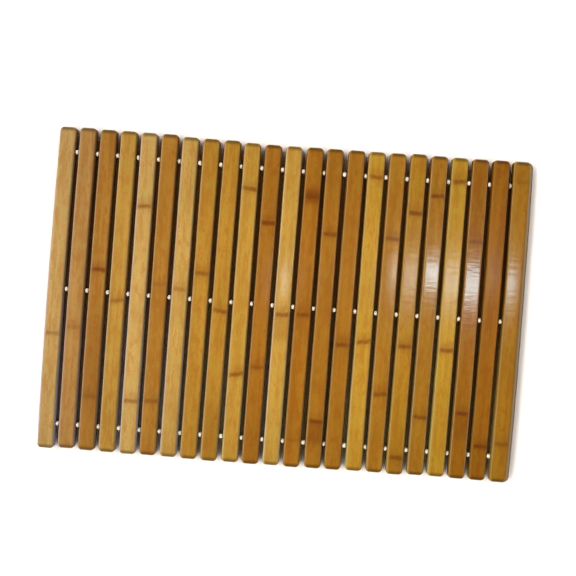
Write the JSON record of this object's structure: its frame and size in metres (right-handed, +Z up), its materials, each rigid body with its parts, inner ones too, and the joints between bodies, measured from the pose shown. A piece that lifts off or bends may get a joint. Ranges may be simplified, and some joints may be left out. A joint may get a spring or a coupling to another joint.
{
  "type": "bamboo mat",
  "caption": "Flat rectangular bath mat of rounded bamboo slats laid side by side and strung on ivory cords, with a round spacer bead in each gap.",
  "frame": {"origin": "under the middle of the mat's outline, on the surface that the mat lies on", "axes": "+X across the slats, along the mat's longer side; +Y along the slats; +Z up through the mat's thickness"},
  "size_m": [0.5972, 0.4056, 0.01],
  "materials": {
    "straw_bamboo": "clear lacquer, semi-gloss, pale straw strip bamboo",
    "light_golden_bamboo": "clear lacquer, semi-gloss, light golden strip bamboo",
    "honey_bamboo": "clear lacquer, semi-gloss, honey strip bamboo",
    "golden_bamboo": "clear lacquer, semi-gloss, golden strip bamboo",
    "amber_bamboo": "clear lacquer, semi-gloss, amber strip bamboo",
    "caramel_bamboo": "clear lacquer, semi-gloss, caramel strip bamboo",
    "dark_caramel_bamboo": "clear lacquer, semi-gloss, dark caramel strip bamboo",
    "ivory_plastic": "smooth ivory plastic beads on a plastic cord"
  },
  "bodies": {
    "root": {"slat_01": "straw_bamboo", "slat_02": "honey_bamboo", "slat_03": "amber_bamboo", "slat_04": "light_golden_bamboo", "slat_05": "straw_bamboo", "slat_06": "amber_bamboo", "slat_07": "straw_bamboo", "slat_08": "golden_bamboo", "slat_09": "golden_bamboo", "slat_10": "light_golden_bamboo", "slat_11": "caramel_bamboo", "slat_12": "straw_bamboo", "slat_13": "caramel_bamboo", "slat_14": "caramel_bamboo", "slat_15": "caramel_bamboo", "slat_16": "light_golden_bamboo", "slat_17": "amber_bamboo", "slat_18": "golden_bamboo", "slat_19": "amber_bamboo", "slat_20": "light_golden_bamboo", "slat_21": "dark_caramel_bamboo", "slat_22": "dark_caramel_bamboo", "slat_23": "amber_bamboo", "beaded_cord_far": "ivory_plastic", "beaded_cord_centre": "ivory_plastic", "beaded_cord_near": "ivory_plastic"}
  },
  "joints": []
}
